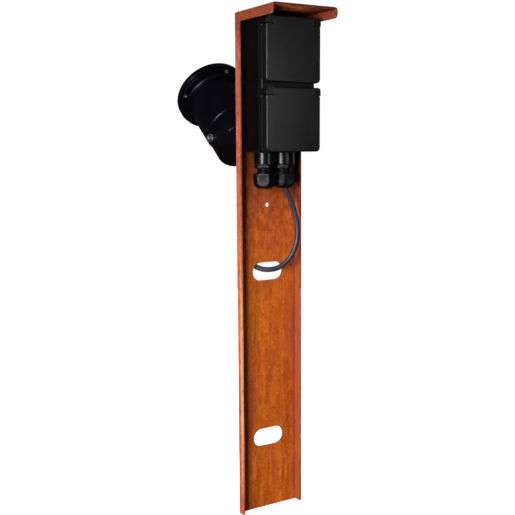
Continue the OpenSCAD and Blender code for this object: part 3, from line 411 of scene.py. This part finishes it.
class Finish:
    """One node material, worked from noise in the object's own metres."""

    def __init__(self, name, **constants):
        self.material = bpy.data.materials.new(name)
        self.material.use_nodes = True
        self.tree = self.material.node_tree
        self.shader = self.tree.nodes["Principled BSDF"]
        self.set(**constants)
        self.place = self.node("TexCoord").outputs["Object"]

    def set(self, **values):
        """Sets or links the shader's sockets, by their names with underscores."""
        for name, value in values.items():
            self.feed(self.shader.inputs[name.replace("_", " ")], value)

    def feed(self, socket, value):
        if isinstance(value, bpy.types.NodeSocket):
            self.tree.links.new(value, socket)
        else:
            socket.default_value = value

    def node(self, kind, inputs=(), **settings):
        made = self.tree.nodes.new("ShaderNode" + kind)
        for name, value in settings.items():
            setattr(made, name, value)
        for name, value in dict(inputs).items():
            self.feed(made.inputs[name], value)
        return made

    def noise(self, grains, detail=4.0, roughness=0.5, distortion=0.0):
        """Noise with that many grains a metre, one number or one for each axis."""
        spread = grains if isinstance(grains, tuple) else (grains,) * 3
        scaled = self.node("VectorMath", {0: self.place, 1: spread}, operation="MULTIPLY").outputs[0]
        return self.node("TexNoise", {
            "Vector": scaled, "Scale": 1.0, "Detail": detail, "Roughness": roughness,
            "Distortion": distortion,
        }).outputs[0]

    def stretch(self, value, low, high, to_low=0.0, to_high=1.0):
        """Maps low to high onto another range, and holds it there."""
        return self.node("MapRange", {
            "Value": value, "From Min": low, "From Max": high, "To Min": to_low, "To Max": to_high,
        }).outputs[0]

    def sums(self, *shares):
        """Weighted sum of (socket, weight) pairs."""
        total = 0.0
        for value, weight in shares:
            total = self.node("Math", {0: value, 1: weight, 2: total}, operation="MULTIPLY_ADD").outputs[0]
        return total

    def times(self, first, *others):
        """Product of sockets."""
        for value in others:
            first = self.node("Math", {0: first, 1: value}, operation="MULTIPLY").outputs[0]
        return first

    def ramp(self, factor, *stops):
        made = self.node("ValToRGB", {0: factor})
        band = made.color_ramp.elements
        while len(band) < len(stops):
            band.new(0.5)
        for element, (place, colour) in zip(band, stops):
            element.position = place
            element.color = (*colour, 1.0)
        return made.outputs[0]

    def mix(self, factor, first, second):
        made = self.node("Mix", {0: factor}, data_type="RGBA")
        for index, colour in ((6, first), (7, second)):
            self.feed(made.inputs[index], (*colour, 1.0) if isinstance(colour, tuple) else colour)
        return made.outputs[2]

    def axis(self, name):
        return self.node("SeparateXYZ", {0: self.place}).outputs[name]

    def sideways(self):
        """Distance from the middle plane of the post."""
        return self.node("Math", {0: self.axis("X")}, operation="ABSOLUTE").outputs[0]

    def rounded(self, radius):
        """Normals that run round the edges."""
        return self.node("Bevel", {"Radius": radius}, samples=6).outputs[0]

    def edge(self, radius):
        """Share of an edge: none on flat faces, growing towards the edges."""
        plain = self.node("NewGeometry").outputs["Normal"]
        same = self.node("VectorMath", {0: self.rounded(radius), 1: plain}, operation="DOT_PRODUCT")
        return self.node("Math", {0: 1.0, 1: same.outputs["Value"]}, operation="SUBTRACT").outputs[0]

    def bump(self, height, depth, strength=1.0, rounding=0.0003):
        made = self.node("Bump", {
            "Height": height, "Distance": depth, "Strength": strength, "Normal": self.rounded(rounding),
        })
        self.set(Normal=made.outputs[0])


class Rust(Finish):
    """Weathered steel of the post, laid on in coats; some coats paint light and shade into the colour."""

    # Places on the post, each from none to all of a coat.
    ROOF = (0.572, 0.584)
    FAR_FLAP = (0.0360, 0.0400)
    UNDER_ROOF_FRONT = (-0.044, -0.070)
    UNDER_ROOF_SIDE = (0.030, 0.005)
    WEB_FRONT = (-0.0005, -0.0012)
    BETWEEN_FLANGES = (0.0413, 0.0403)
    UPPER_WEB = (0.28, 0.36)
    BELOW_BOX = (0.365, 0.453)
    LEFT_FLANGE = (-0.0375, -0.0400)
    UNDER_FOLD = (0.580, 0.565)
    ABOVE_FOOT = (0.015, 0.05)
    LOWER_POST = (0.37, 0.22)
    FLANGE_FRONT = (0.009, 0.013)
    BELOW_ROOF = (0.56, 0.50)
    # Outer planes of the sheet's web, and the start of a cut's wall just inside them.
    SHEET_FACE = 0.00122
    CUT_WALL = 0.0011

    # Colours in linear light.
    BLOOM = (0.56, 0.134, 0.008)
    RED_FILM = (0.34, 0.060, 0.026)
    RIGHT_INSIDE_DARK = (0.20, 0.036, 0.014)
    PAINTED_BOX_SHADOW = (0.06, 0.010, 0.005)
    PINK_SHEEN = (0.45, 0.112, 0.062)
    PITS = (0.26, 0.040, 0.020)
    LIT_EDGE_PAINT = (0.76, 0.32, 0.098)
    PAINTED_BOUNCE_LIGHT = (0.95, 0.25, 0.05)
    PAINTED_CUT_SHADE = (0.20, 0.036, 0.008)
    SCALE = (0.12, 0.032, 0.008)
    SPECKS = (0.19, 0.033, 0.009)
    WORN_LIT_EDGE = (0.62, 0.23, 0.085)

    def __init__(self, name):
        super().__init__(name, Specular_IOR_Level=0.2)
        self.x, self.y, self.z = (self.axis(letter) for letter in "XYZ")
        self.from_middle = self.sideways()
        self.facing = self.node("SeparateXYZ", {0: self.node("NewGeometry").outputs["Normal"]}).outputs
        runs = self.noise((260, 260, 26), 5, 0.65, 0.5)
        streaks = self.noise((90, 90, 9), 4, 0.6, 0.5)
        self.blotches = self.noise((85, 85, 60), 6, 0.7, 0.8)
        self.clouds = self.noise((24, 24, 12), 5, 0.65, 0.6)
        self.grain = self.noise(560, 3, 0.8)
        self.tone = self.sums((runs, 0.27), (streaks, 0.25), (self.blotches, 0.20), (self.grain, 0.28))
        self.aside = self.stretch(self.from_middle, 0.026, 0.042)
        self.roof = self.stretch(self.sums((self.z, 1.0), (self.clouds, 0.02)), *self.ROOF)

    def ground(self):
        """Rain runs and blotches, orange bloom, a red film towards the sides, and darker colour inside the
        right flange.
        """
        colour = self.ramp(
            self.tone, (0.38, (0.21, 0.034, 0.004)), (0.45, (0.36, 0.065, 0.005)),
            (0.51, (0.48, 0.094, 0.008)), (0.59, (0.62, 0.155, 0.014)),
        )
        bloom = self.stretch(self.noise((17, 17, 7), 5, 0.6, 0.5), 0.47, 0.60, 0.0, 0.55)
        colour = self.mix(bloom, colour, self.BLOOM)
        cover = self.sums((self.clouds, 1.0), (self.aside, 0.16), (self.grain, 0.25))
        colour = self.mix(self.stretch(cover, 0.62, 0.82, 0.0, 0.8), colour, self.RED_FILM)
        # Darker colour on the inside of the right flange.
        right_inside_share = self.stretch(self.sums((self.x, 1.0), (self.clouds, 0.006)), 0.037, 0.0415, 0.0, 0.6)
        return self.mix(right_inside_share, colour, self.RIGHT_INSIDE_DARK)

    def roof_darkening_and_flap_light(self, colour):
        """Dark grainy colour that grows towards the roof, and painted light on the inside of its far flap.
        """
        # Darker grainy colour towards the roof.
        rise = self.sums((self.z, 1.0), (self.clouds, 0.18), (self.grain, 0.10))
        pink_sheen_and_dark_grain = self.ramp(
            self.grain, (0.40, (0.065, 0.013, 0.008)), (0.52, (0.14, 0.024, 0.013)),
            (0.62, (0.27, 0.055, 0.028)),
        )
        colour = self.mix(self.stretch(rise, 0.45, 0.72, 0.0, 0.9), colour, pink_sheen_and_dark_grain)
        # Painted light: the inside of the roof's far flap, where it faces the key light, is coloured
        # brighter.
        inward = self.stretch(self.facing["X"], -0.2, -0.7)
        painted_flap_light = self.times(self.roof, self.stretch(self.x, *self.FAR_FLAP, 0.0, 0.9), inward)
        lit_flap_colour = self.ramp(self.grain, (0.42, (0.62, 0.095, 0.041)), (0.60, (0.95, 0.185, 0.088)))
        return self.mix(painted_flap_light, colour, lit_flap_colour)

    def web_blotches_and_box_shadow(self, colour):
        """Red blotches on the upper web, and a painted shadow below the box."""
        inside = self.times(
            self.stretch(self.y, *self.WEB_FRONT), self.stretch(self.from_middle, *self.BETWEEN_FLANGES),
        )
        upper = self.times(inside, self.stretch(self.z, *self.UPPER_WEB, 0.0, 0.4))
        rash = self.noise((110, 110, 70), 5, 0.7, 0.6)
        red = self.ramp(rash, (0.41, (0.19, 0.027, 0.010)), (0.59, (0.66, 0.125, 0.032)))
        colour = self.mix(upper, colour, red)
        # Painted shadow: the web between the flanges darkens towards the box above it.
        rise = self.sums((self.z, 1.0), (self.clouds, 0.012))
        box_shadow_share = self.times(inside, self.stretch(rise, *self.BELOW_BOX, 0.0, 0.85))
        return self.mix(box_shadow_share, colour, self.PAINTED_BOX_SHADOW)

    def left_flange(self, colour):
        """Painted pinkish sheen with pits on the left flange, and painted light on its front edge lower
        down.
        """
        outer = self.times(
            self.stretch(self.x, *self.LEFT_FLANGE), self.stretch(self.z, *self.UNDER_FOLD),
            self.stretch(self.z, *self.ABOVE_FOOT),
        )
        # Painted sheen: a pinkish colour stands in for the whitish sheen of the rough outer face.
        pink_sheen_and_dark_grain = self.times(outer, self.stretch(self.tone, 0.42, 0.56, 0.2, 0.8))
        colour = self.mix(pink_sheen_and_dark_grain, colour, self.PINK_SHEEN)
        pits = self.times(outer, self.stretch(self.noise((200, 200, 120), 4, 0.8), 0.46, 0.60, 0.0, 0.75))
        colour = self.mix(pits, colour, self.PITS)
        ahead = self.sums((self.y, -1.0), (self.blotches, 0.006))
        # Painted light: the flange's front edge is coloured paler lower down, where the key light falls on
        # it.
        front = self.times(
            outer, self.stretch(self.z, *self.LOWER_POST), self.stretch(ahead, *self.FLANGE_FRONT),
            self.stretch(self.clouds, 0.36, 0.6, 0.35, 0.95),
        )
        return self.mix(front, colour, self.LIT_EDGE_PAINT)

    def under_roof(self, colour):
        """Painted bounce light: gold streaks under the roof's front."""
        bounce_light_share = self.times(
            self.roof, self.stretch(self.facing["Z"], -0.7, -0.95),
            self.stretch(self.x, *self.UNDER_ROOF_SIDE), self.stretch(self.tone, 0.44, 0.55, 0.05, 1.0),
            self.stretch(self.y, *self.UNDER_ROOF_FRONT),
        )
        return self.mix(bounce_light_share, colour, self.PAINTED_BOUNCE_LIGHT)

    def wear_and_painted_light(self, colour):
        """Painted shade on the walls of the cuts, scale, specks, and bright edges that are partly worn and
        partly painted highlight.
        """
        # Painted shade on the walls of the holes and slots through the web.
        shaded_cut_wall = self.times(
            self.stretch(self.y, -self.SHEET_FACE, -self.CUT_WALL),
            self.stretch(self.y, self.SHEET_FACE, self.CUT_WALL),
        )
        colour = self.mix(shaded_cut_wall, colour, self.PAINTED_CUT_SHADE)
        patch = self.times(
            self.stretch(self.noise(26, 3), 0.46, 0.60), self.stretch(self.z, *self.BELOW_ROOF),
        )
        flakes = self.stretch(self.noise((420, 420, 110), 3, 0.7), 0.55, 0.65, 0.0, 0.6)
        colour = self.mix(self.times(flakes, patch), colour, self.SCALE)
        specks = self.stretch(self.noise(430, 2, 0.6), 0.58, 0.68, 0.0, 0.5)
        colour = self.mix(specks, colour, self.SPECKS)
        # Bright edges: partly wear, partly a painted highlight along the edges.
        rims = self.node("Math", {0: self.roof, 1: self.aside}, operation="MAXIMUM").outputs[0]
        rubbed_and_lit = self.times(self.stretch(self.noise(330, 4, 0.75), 0.47, 0.62), rims)
        worn_and_lit_edges = self.times(self.stretch(self.edge(0.0012), 0.02, 0.25), rubbed_and_lit)
        return self.mix(worn_and_lit_edges, colour, self.WORN_LIT_EDGE)


def corten():
    f = Rust("corten")
    colour = f.ground()
    for coat in (f.roof_darkening_and_flap_light, f.web_blotches_and_box_shadow, f.left_flange, f.under_roof, f.wear_and_painted_light):
        colour = coat(colour)
    f.set(Base_Color=colour, Roughness=f.stretch(f.tone, 0.38, 0.62, 0.90, 0.72))
    f.bump(f.sums((f.grain, 0.7), (f.blotches, 0.3)), 0.0005, 0.5, 0.0007)
    return f.material


def moulded(
    name, colour, rough, specular,
    texture=2600, depth=0.00006, mottle=0.25, rounding=0.0005, tint=(1, 1, 1), places=None,
):
    """Moulded plastic: eroded texture and a faint mottle. Places may change its roughness and shine."""
    f = Finish(name, Specular_IOR_Level=specular, Specular_Tint=(*tint, 1.0))
    cloud = f.noise(35, 3)
    grit = f.noise(texture, 2)
    pale = tuple(c * (1 + mottle) for c in colour)
    dark = tuple(c * (1 - mottle) for c in colour)
    f.set(Base_Color=f.ramp(cloud, (0.35, dark), (0.65, pale)))
    gloss = f.stretch(f.sums((cloud, 0.6), (grit, 0.4)), 0.35, 0.65, rough - 0.05, rough + 0.05)
    if places:
        change, shine = places(f, specular)
        gloss = f.sums((gloss, 1.0), (change, 1.0))
        f.set(Specular_IOR_Level=shine)
    f.set(Roughness=gloss)
    f.bump(grit, depth, 0.6, rounding)
    return f.material


def box_places(f, specular):
    """Socket box: smooth spouts, a dull face behind the lids, and side walls that shine less."""
    y, z = (f.axis(name) for name in "YZ")
    outward = f.sideways()
    wall_in, wall_out = BOX_WALL
    above = f.stretch(z, SPOUT_TOP - SPOUT_STEP, SPOUT_TOP)
    spouts = f.stretch(z, SPOUT_TOP, SPOUT_TOP - SPOUT_STEP)
    face = f.times(above, f.stretch(y, *BOX_FRONT), f.stretch(outward, wall_out, wall_in))
    walls = f.times(f.stretch(outward, wall_in, wall_out), f.stretch(y, *BOX_WALL_FRONT))
    change = f.sums((face, 0.30), (spouts, -0.14))
    return change, f.stretch(walls, 0.0, 1.0, specular, BOX_WALL_SHINE * specular)


def metal(name, colour, rough, stain=0.2):
    """Bright metal with fine brushing and a dull stain."""
    f = Finish(name, Metallic=1.0)
    lines = f.noise(900, 4, 0.6)
    cloud = f.noise(180, 4)
    dull = tuple(c * (1 - stain) for c in colour)
    f.set(Base_Color=f.ramp(cloud, (0.35, dull), (0.6, colour)))
    f.set(Roughness=f.stretch(lines, 0.3, 0.7, rough - 0.08, rough + 0.1))
    f.bump(lines, 0.00003, 0.4)
    return f.material


def cable_sheath():
    """Cable jacket: blue-grey plastic with a soft sheen and a faint drawn grain."""
    f = Finish("cable_sheath", Specular_IOR_Level=0.6)
    cloud = f.noise(60, 4)
    grain = f.noise(1800, 2)
    f.set(Base_Color=f.ramp(cloud, (0.35, (0.020, 0.019, 0.031)), (0.65, (0.027, 0.026, 0.041))))
    f.set(Roughness=f.stretch(grain, 0.3, 0.7, 0.30, 0.39))
    f.bump(grain, 0.00003, 0.4)
    return f.material


def lens_glass():
    """Clear pane with a faint haze."""
    f = Finish("lens_glass", Transmission_Weight=1.0, IOR=1.5)
    haze = f.noise(90, 5, 0.6)
    f.set(Base_Color=f.ramp(haze, (0.3, (0.90, 0.95, 0.94)), (0.7, (0.97, 0.99, 0.98))))
    f.set(Roughness=f.stretch(haze, 0.4, 0.7, 0.0, 0.06))
    return f.material


FINISHES = {
    "corten": corten(),
    "box_black": moulded(
        "box_black", (0.0010, 0.0010, 0.0011), 0.40, 0.46, depth=0.00003, rounding=0.0008,
        places=box_places,
    ),
    "lid_black": moulded("lid_black", (0.0025, 0.0025, 0.0026), 0.39, 0.56),
    "insert_black": moulded("insert_black", (0.012, 0.012, 0.0125), 0.38, 0.45),
    "gland_black": moulded("gland_black", (0.0015, 0.0015, 0.0016), 0.37, 0.38, texture=700, depth=0.00004),
    "rubber": moulded("rubber", (0.010, 0.010, 0.010), 0.62, 0.3, texture=1500),
    "cable_sheath": cable_sheath(),
    "wire_sheath": moulded("wire_sheath", (0.12, 0.035, 0.012), 0.42, 0.45),
    "zinc": metal("zinc", (0.62, 0.63, 0.64), 0.40),
    "stainless": metal("stainless", (0.66, 0.66, 0.66), 0.44),
    "spring_steel": metal("spring_steel", (0.55, 0.55, 0.56), 0.28),
    "brass": metal("brass", (0.72, 0.50, 0.20), 0.3),
    "ceramic": moulded("ceramic", (0.70, 0.69, 0.64), 0.35, 0.5, texture=900, depth=0.00004, mottle=0.05),
    "spot_black": moulded(
        "spot_black", (0.0006, 0.0006, 0.0014), 0.34, 0.55, texture=1100, depth=0.00001, rounding=0.0011,
        tint=(0.6, 0.62, 0.95),
    ),
    "lens_glass": lens_glass(),
    "lamp_white": moulded(
        "lamp_white", (0.62, 0.63, 0.62), 0.35, 0.5, texture=1200, depth=0.00003, mottle=0.06,
    ),
}


def dress(thing, slot):
    """Gives a piece or a node its finish."""
    thing.data.materials.clear()
    thing.data.materials.append(FINISHES[slot])


def light(name, azimuth, reach, height, size, power, seen):
    """Soft box on a circle round the post, turned towards it; seen by matt surfaces or in gloss."""
    data = bpy.data.lights.new(name, "AREA")
    data.shape = "RECTANGLE"
    data.size, data.size_y = size
    data.energy = power
    lamp = bpy.data.objects.new(name, data)
    turn = math.radians(azimuth)
    lamp.location = (reach * math.sin(turn), -reach * math.cos(turn), height)
    aim = Vector((0, 0, height if height < LIGHT_TURN else LIGHT_AIM)) - lamp.location
    lamp.rotation_mode = "QUATERNION"
    lamp.rotation_quaternion = aim.to_track_quat("-Z", "Y")
    lamp.visible_camera = False
    lamp.visible_diffuse = seen == "matt"
    lamp.visible_glossy = seen == "gloss"
    scene.collection.objects.link(lamp)


def lay_floor():
    """Pale floor that glows a little and lights nothing."""
    mesh = bmesh.new()
    bmesh.ops.create_circle(mesh, cap_ends=True, segments=96, radius=FLOOR_RADIUS)
    floor = piece_from("floor", mesh)
    f = Finish(
        "floor", Roughness=0.9, Specular_IOR_Level=0.1,
        Emission_Color=(1, 1, 1, 1), Emission_Strength=FLOOR_GLOW,
    )
    f.set(Base_Color=f.ramp(f.noise(3, 3), (0.3, (0.92, 0.92, 0.92)), (0.7, (0.95, 0.95, 0.95))))
    floor.data.materials.append(f.material)
    floor.visible_diffuse = False
    floor.visible_glossy = False


def surround():
    """Surroundings that are white to the eye and dim to the object."""
    world = bpy.data.worlds.new("studio")
    world.use_nodes = True
    tree = world.node_tree
    sky = tree.nodes["Background"]
    sky.inputs["Color"].default_value = (1, 1, 1, 1)
    level = tree.nodes.new("ShaderNodeMapRange")
    level.inputs["To Min"].default_value = AMBIENT
    level.inputs["To Max"].default_value = 1.0
    tree.links.new(tree.nodes.new("ShaderNodeLightPath").outputs["Is Camera Ray"], level.inputs["Value"])
    tree.links.new(level.outputs[0], sky.inputs["Strength"])
    scene.world = world
    scene.view_settings.view_transform = "Standard"


aim_camera()
lay_cable()
for part in frame["record"]["subparts"]:
    dress(nodes[part["node"]], part["material_slot"])
for side, turn in NUT_TURNS.items():
    gland_nut(side, turn)
    gland_body(side)
lamp_face()
lay_floor()
surround()
for soft_box in SOFT_BOXES:
    light(*soft_box)
